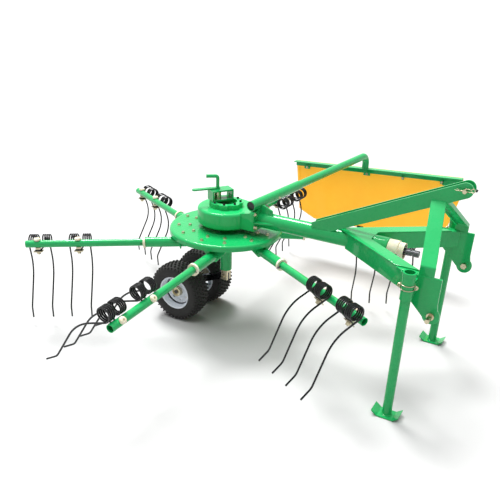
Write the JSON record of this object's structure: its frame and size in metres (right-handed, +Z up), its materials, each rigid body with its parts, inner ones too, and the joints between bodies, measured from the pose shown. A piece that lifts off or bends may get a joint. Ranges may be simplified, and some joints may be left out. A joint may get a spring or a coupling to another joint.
{
  "type": "rotary hay rake",
  "caption": "Tractor-mounted rotary hay rake: a rotor of spring-tine arms under a three-point hitch frame, with a windrow curtain, small wheels and parking stands.",
  "frame": {"origin": "on the floor, at the middle of the parked machine's footprint", "axes": "+X forward to the hitch, +Y to the machine's left where the curtain hangs, +Z up"},
  "size_m": [2.441, 2.4833, 1.105],
  "materials": {
    "green_paint": "gloss enamel",
    "cast_green": "gloss enamel over rough casting",
    "zinc": "zinc plated",
    "bare_steel": "machined",
    "spring_steel": "black paint",
    "cream_plastic": "moulded",
    "tyre": "moulded rubber",
    "rim_silver": "silver paint",
    "tarpaulin": "coated cloth"
  },
  "bodies": {
    "frame": {"gearbox_housing": "cast_green", "column": "green_paint", "height_screw": "zinc", "crank_yoke": "green_paint", "crank": "green_paint", "drive_tube": "green_paint", "input_bearing": "green_paint", "pto_guard": "cream_plastic", "v_web": "green_paint", "top_pin": "zinc", "curtain_sleeve": "green_paint", "v_leg_left": "green_paint", "hitch_plate_left": "green_paint", "lower_pin_left": "zinc", "mast_cheek_left": "green_paint", "strut_left": "green_paint", "stand_socket_left": "green_paint", "v_leg_right": "green_paint", "hitch_plate_right": "green_paint", "lower_pin_right": "zinc", "mast_cheek_right": "green_paint", "strut_right": "green_paint", "stand_socket_right": "green_paint"},
    "rotor": {"rotor_disc": "green_paint", "arm_sockets": "green_paint", "arm_collars": "cream_plastic", "tine_clamps": "zinc", "tine_arm_1": "green_paint", "tines_1": "spring_steel", "tine_arm_2": "green_paint", "tines_2": "spring_steel", "tine_arm_3": "green_paint", "tines_3": "spring_steel", "tine_arm_4": "green_paint", "tines_4": "spring_steel", "tine_arm_5": "green_paint", "tines_5": "spring_steel", "tine_arm_6": "green_paint", "tines_6": "spring_steel"},
    "input_shaft": {"input_shaft": "bare_steel"},
    "carriage": {"carriage_post": "zinc", "carriage_beam": "spring_steel"},
    "wheel_left": {"tyre_left": "tyre", "rim_left": "rim_silver"},
    "wheel_right": {"tyre_right": "tyre", "rim_right": "rim_silver"},
    "stand_left": {"stand_left": "green_paint"},
    "stand_right": {"stand_right": "green_paint"},
    "curtain": {"curtain_arm": "green_paint", "curtain_rail": "green_paint", "curtain_sheet": "tarpaulin"}
  },
  "joints": [
    {"name": "rotor_spin", "type": "hinge", "parent": "frame", "child": "rotor", "pos_m": [-0.13845, -0.0323, 0.6], "axis": [0, 0, 1], "continuous": true},
    {"name": "input_spin", "type": "hinge", "parent": "frame", "child": "input_shaft", "pos_m": [0.86155, -0.0323, 0.7], "axis": [1, 0, 0], "continuous": true},
    {"name": "wheel_height", "type": "slide", "parent": "frame", "child": "carriage", "axis": [0, 0, 1], "range_m": [-0.1, 0]},
    {"name": "wheel_spin_left", "type": "hinge", "parent": "carriage", "child": "wheel_left", "pos_m": [-0.38845, 0.1047, 0.183], "axis": [0, 1, 0], "continuous": true},
    {"name": "wheel_spin_right", "type": "hinge", "parent": "carriage", "child": "wheel_right", "pos_m": [-0.38845, -0.1693, 0.183], "axis": [0, 1, 0], "continuous": true},
    {"name": "stand_slide_left", "type": "slide", "parent": "frame", "child": "stand_left", "axis": [0, 0, 1], "range_m": [0, 0.18]},
    {"name": "stand_slide_right", "type": "slide", "parent": "frame", "child": "stand_right", "axis": [0, 0, 1], "range_m": [0, 0.18]},
    {"name": "curtain_slide", "type": "slide", "parent": "frame", "child": "curtain", "axis": [0.1342, 0.9905, 0.03], "range_m": [0, 0.25]}
  ],
  "couplings": [
    {"joint": "input_spin", "follows": "rotor_spin", "ratio": 6}
  ]
}
